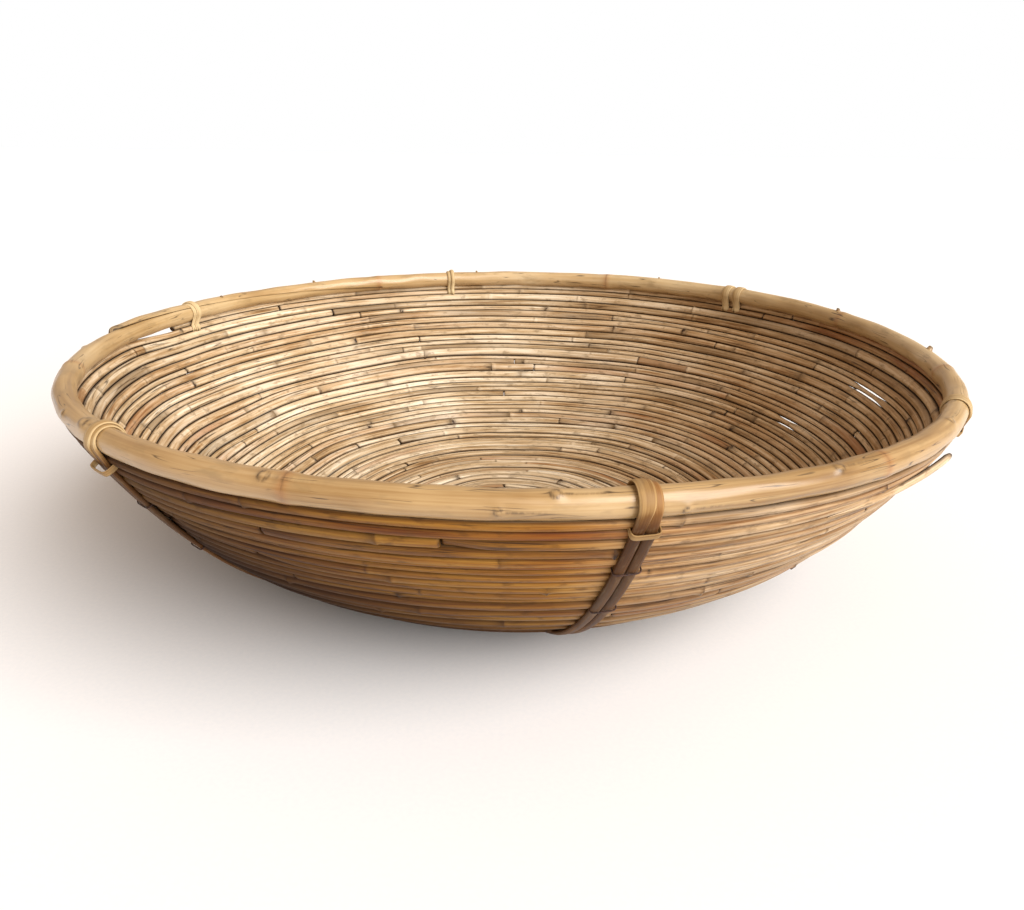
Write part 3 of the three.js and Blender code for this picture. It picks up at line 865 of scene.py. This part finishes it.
# tone over the rim and on the wall, how far apart the two canes lie over the rim and how much wider they are
# there, and how far the pair leans sideways at the rim and for each metre down the wall
ribLooks = {
    1: {"rim": 0.95, "wall": 0.25, "part": 11.5 * mm, "flare": 0.3, "lean": (0, 0)},
    2: {"rim": 1, "wall": 0.3, "part": 3.2 * mm, "flare": -0.4, "lean": (0, 0)},
    3: {"rim": 1, "wall": 0.3, "part": 2.6 * mm, "flare": -0.1, "lean": (0, 0)},
    4: {"rim": 1, "wall": 0.3, "part": 2.2 * mm, "flare": 0.2, "lean": (0, 0)},
    5: {"rim": 0.72, "wall": 0.26, "part": 3.4 * mm, "flare": 0.4, "lean": (-4.2 * mm, -0.043)},
    6: {"rim": 0.92, "wall": 0.3, "part": 5.8 * mm, "flare": 0.1, "lean": (0, 0)},
}


def caneLine():
    # up the inside of the top reeds, round the pole by an arc, down the outside of the wall, under the base
    off = wall["reed"] / 2 + cane["off"] + cane["thick"] / 2
    hook = rim["tube"] + cane["off"] + cane["thick"] / 2
    inner = np.linspace(wallLength - cane["tuck"], wallLength - 2 * mm, 4)
    inOut, inUp, *_ = besideWall(inner, -off + np.array([1.6, 0.4, 0, 0]) * mm)
    angle = np.radians(np.linspace(190, -18, 26))
    outer = np.arange(wallLength - 3 * mm, cane["foot"] + 6 * mm, -cane["sample"])
    outOut, outUp, *_ = besideWall(outer, off)
    foot = np.array([[cane["foot"] + 3 * mm, outUp[-1]], [cane["foot"], outUp[-1]]])
    line = np.concatenate([
        np.stack([inOut, inUp], -1),
        np.stack([rim["radius"] + hook * np.cos(angle), rim["height"] + hook * np.sin(angle)], -1),
        np.stack([outOut, outUp], -1), foot])
    return line


def onRib(bearing, out, side, up):
    # a point at a rib: out from the axis, sideways, and up
    cos, sin = np.cos(bearing), np.sin(bearing)
    return np.stack([out * cos - side * sin, out * sin + side * cos, up], -1)


def caneRod(number, sign, rng):
    # A split cane: its middle follows the cane line, to one side of the rib. Its section is flat inside and
    # domed outside: a power of the cosine across and of the sine through, with a low power on the inside.
    look, bearing = ribLooks[number], ribs[number]
    line = caneLine()
    along = np.concatenate([[0], np.cumsum(np.hypot(*np.diff(line, axis=0).T))])
    direction = np.gradient(line, along, axis=0)
    direction /= np.linalg.norm(direction, axis=1)[:, None]
    onPole = 1 - softStep((along - cane["pared"][0]) / cane["pared"][1])  # 1 over the rim, 0 down the wall
    beside = (cane["width"] + 0.3 * mm) / 2
    half = beside + (look["part"] / 2 - beside) * onPole
    lean = look["lean"][0] + look["lean"][1] * np.clip(along - cane["pale"][0], 0, None)
    side = lean + sign * half + 0.25 * mm * wander(rng, along, 0.12)
    thick = cane["thick"] + (cane["thin"] - cane["thick"]) * onPole
    lap = np.clip((beside - half) / (1 * mm), 0, 1) * (sign < 0) * cane["thin"]
    normal = np.stack([-direction[:, 1], direction[:, 0]], -1)  # away from the pole and the wall
    line = line + normal * (lap - (cane["thick"] - thick) / 2)[:, None]
    centre = onRib(bearing, line[:, 0], side, line[:, 1])
    axisA = onRib(bearing, along * 0, along * 0 + 1, along * 0)
    axisB = onRib(bearing, normal[:, 0], along * 0, normal[:, 1])
    angle = np.arange(cane["sides"]) / cane["sides"] * turn
    cos, sin = np.cos(angle), np.sin(angle)
    wide = cane["width"] * (1 + look["flare"] * onPole)
    profileA = wide[:, None] / 2 * np.sign(cos) * np.abs(cos) ** 0.8
    profileB = thick[:, None] / 2 * np.where(sin > 0, np.abs(sin) ** 0.9, -np.abs(sin) ** 0.35)
    taper = 1 - 0.25 * softBump((along - along[-1]) / (6 * mm))[:, None]
    pale = 1 - softStep((along - cane["pale"][0]) / cane["pale"][1])
    tone = look["wall"] + (look["rim"] - look["wall"]) * pale
    tone = tone + 0.04 * wander(rng, along, 0.06) + rng.normal(0, 0.02)
    grey = np.clip(0.04 + 0.15 * wander(rng, along, 0.1), 0, 0.5)
    red = 0.05 + (0.35 if number == 5 and sign > 0 else 0) * onPole  # the front rib's right cane is redder
    tint = np.stack([tone, red + along * 0, grey, along * 0], -1)
    return sweptRod(centre, axisA, axisB, profileA * taper, profileB * taper, along, tint)


# Ties: how far down the wall from its top each lies, and its section
ties = {
    "cane_tie": {"down": 1 * mm, "width": 3.4 * mm, "thick": 0.9 * mm},
    "upper_wire_tie": {"down": 31 * mm, "width": 0.8 * mm, "thick": 0.8 * mm},
    "lower_wire_tie": {"down": 72 * mm, "width": 0.8 * mm, "thick": 0.8 * mm},
}


tieRoom = {"beside": 0.9 * mm, "over": 0.15 * mm}  # between a tie and the canes
looseTie = {"rib": 4, "kind": "cane_tie", "bow": 2.4 * mm}  # it stands out this much further


def tieRod(number, kind, rng):
    # An arch over the pair of canes, from the reeds on one side to those on the other: half its width times
    # |cos| ** 0.35 sideways and its height times |sin| ** 0.5 off the wall, with the signs kept.
    tie = ties[kind]
    angle = np.radians(np.linspace(205, -25, 40))
    bow = looseTie["bow"] if (number, kind) == (looseTie["rib"], looseTie["kind"]) else 0
    half = cane["width"] + tieRoom["beside"] + bow
    high = cane["off"] + cane["thick"] + tieRoom["over"] + tie["thick"] / 2 + bow
    lean = ribLooks[number]["lean"]
    side = half * np.sign(np.cos(angle)) * np.abs(np.cos(angle)) ** 0.35
    off = high * np.sign(np.sin(angle)) * np.abs(np.sin(angle)) ** 0.5
    slope = rng.normal(0.04, 0.05)
    out, up, lineA, lineB = besideWall(wallLength - tie["down"] + side * slope, wall["reed"] / 2 + off)
    bearing = ribs[number]
    centre = onRib(bearing, out, side + lean[0] + lean[1] * tie["down"], up)
    along = np.concatenate([[0], np.cumsum(np.linalg.norm(np.diff(centre, axis=0), axis=1))])
    direction = np.gradient(centre, along, axis=0)
    direction /= np.linalg.norm(direction, axis=1)[:, None]
    axisA = onRib(bearing, lineA, lineA * 0, lineB)
    axisA = axisA - (axisA * direction).sum(1)[:, None] * direction
    axisA /= np.linalg.norm(axisA, axis=1)[:, None]
    axisB = np.cross(direction, axisA)
    ring = np.arange(10) / 10 * turn
    power = 0.6 if kind == "cane_tie" else 1.0
    profileA = tie["width"] / 2 * np.sign(np.cos(ring)) * np.abs(np.cos(ring)) ** power
    profileB = tie["thick"] / 2 * np.sign(np.sin(ring)) * np.abs(np.sin(ring)) ** power
    tint = np.stack([along * 0 + 0.78, along * 0 + 0.02, along * 0 + 0.1, along * 0], -1)
    return sweptRod(centre, axisA, axisB, profileA, profileB, along, tint)


ribSeed = 3


def makeRibs():
    rng = np.random.default_rng(ribSeed)
    for number in ribs:
        for side, sign in (("Left", -1), ("Right", 1)):
            rod = caneRod(number, sign, rng)
            node = f"rib_{number}_{side.lower()}_cane"
            buildRods(f"rib{number}{side}Cane", [rod], caneSkin, [node])
        for kind in ties:
            skin, slotName = (caneSkin, "tie_cane") if kind == "cane_tie" else (wireMetal, "tie_wire")
            name = f"rib{number}" + "".join(word.capitalize() for word in kind.split("_"))
            buildRods(name, [tieRod(number, kind, rng)], skin, [f"rib_{number}_{kind}"])


makeRibs()
print("bowl: ribs bound")
